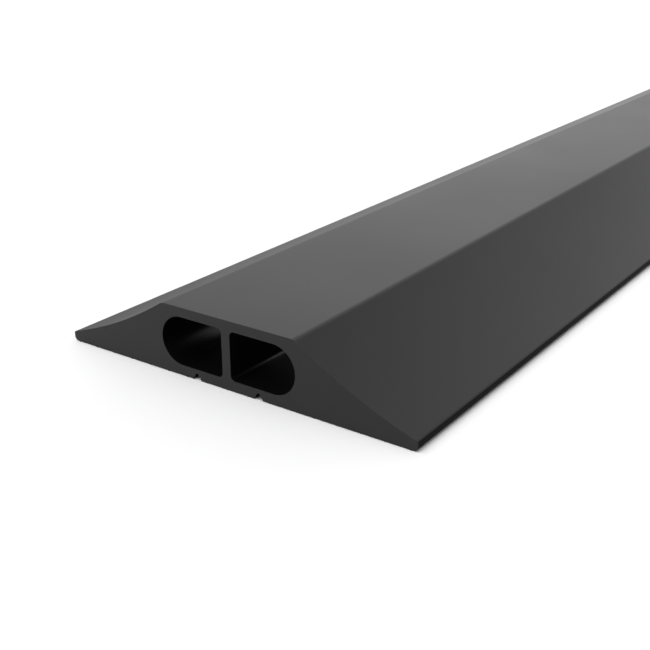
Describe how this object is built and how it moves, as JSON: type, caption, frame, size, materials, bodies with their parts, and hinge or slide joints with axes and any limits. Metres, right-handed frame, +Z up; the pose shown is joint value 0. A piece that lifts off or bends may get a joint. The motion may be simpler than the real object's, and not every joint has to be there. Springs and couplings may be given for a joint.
{
  "type": "floor cord cover",
  "caption": "Low black rubber floor strip with a flat crown, concave ramps and closed cable channels along its whole length.",
  "frame": {"origin": "middle of the length and of the width, on the plane of the underside rib tips, which is the floor", "axes": "+Y along the length, +X across the width, +Z up out of the floor"},
  "size_m": [0.083, 1.8, 0.0143],
  "materials": {
    "black_rubber": "matt, very fine smooth extruded skin"
  },
  "bodies": {
    "root": {"cover_strip": "black_rubber"}
  },
  "joints": []
}
